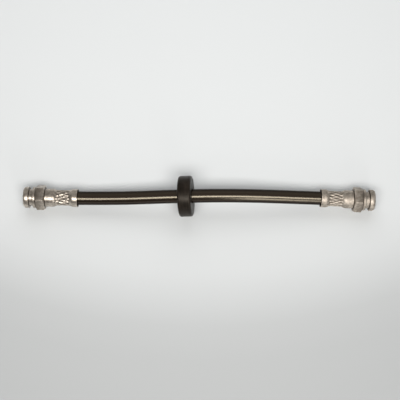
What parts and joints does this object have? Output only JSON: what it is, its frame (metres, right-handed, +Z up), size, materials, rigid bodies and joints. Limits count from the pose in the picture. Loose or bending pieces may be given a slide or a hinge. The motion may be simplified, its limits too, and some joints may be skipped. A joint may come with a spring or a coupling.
{
  "type": "brake hose",
  "caption": "Short black rubber brake hose with a crimped steel end fitting with a female threaded port at each end, and a round rubber grommet on the hose.",
  "frame": {"origin": "on the surface that the hose lies on, under the middle of its overall length and under the grommet's middle in Y", "axes": "+X along the hose from its left end to its right end, +Z up"},
  "size_m": [0.262, 0.0306, 0.0309],
  "materials": {
    "hose_rubber": "smooth, waxy sheen along its length",
    "grommet_rubber": "matte moulded",
    "plated_steel": "zinc plated, warm grey, turned and lightly tarnished",
    "insert_steel": "plain turned"
  },
  "bodies": {
    "root": {"hose": "hose_rubber", "left_end_fitting": "plated_steel", "left_insert_nipple": "insert_steel", "right_end_fitting": "plated_steel", "right_insert_nipple": "insert_steel", "grommet": "grommet_rubber"}
  },
  "joints": []
}
